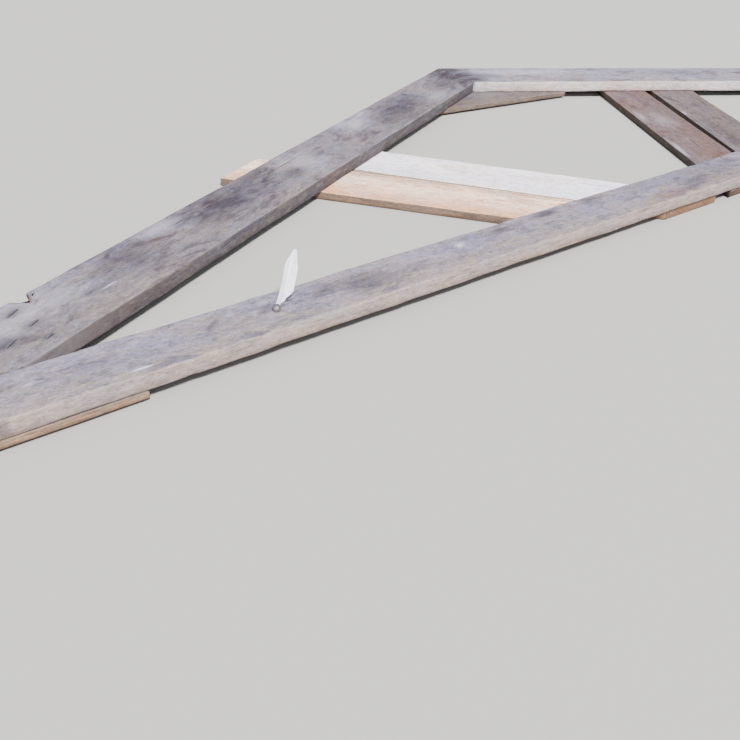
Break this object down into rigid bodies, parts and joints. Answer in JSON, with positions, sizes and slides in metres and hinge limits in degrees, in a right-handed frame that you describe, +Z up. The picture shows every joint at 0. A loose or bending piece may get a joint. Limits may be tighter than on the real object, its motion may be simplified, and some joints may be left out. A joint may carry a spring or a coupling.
{
  "type": "wooden roof truss",
  "caption": "Old hand-nailed timber roof truss with sloping rafters, a level bottom chord, slanted web boards and nailed gussets.",
  "frame": {"origin": "centre of the outline in plan, on the level surface that the truss lies on", "axes": "+X along the bottom chord to the right heel, +Y from the chord to the ridge, +Z up through the thickness, with the thin boards underneath"},
  "size_m": [5.486, 1.3834, 0.1507],
  "materials": {
    "grey_timber": "weathered, unfinished",
    "bleached_board": "weathered, unfinished",
    "tan_board": "weathered, unfinished",
    "brown_board": "weathered, unfinished",
    "grey_board": "weathered, unfinished",
    "bare_tin": "dull, weathered"
  },
  "bodies": {
    "root": {"left_rafter": "grey_timber", "right_rafter": "grey_timber", "bottom_chord": "grey_timber", "left_web_inner": "bleached_board", "left_web_outer": "tan_board", "right_web_inner": "brown_board", "right_web_outer": "grey_board", "apex_gusset": "tan_board", "left_heel_gusset": "brown_board", "right_heel_gusset": "brown_board", "nailed_strip": "bare_tin"}
  },
  "joints": []
}
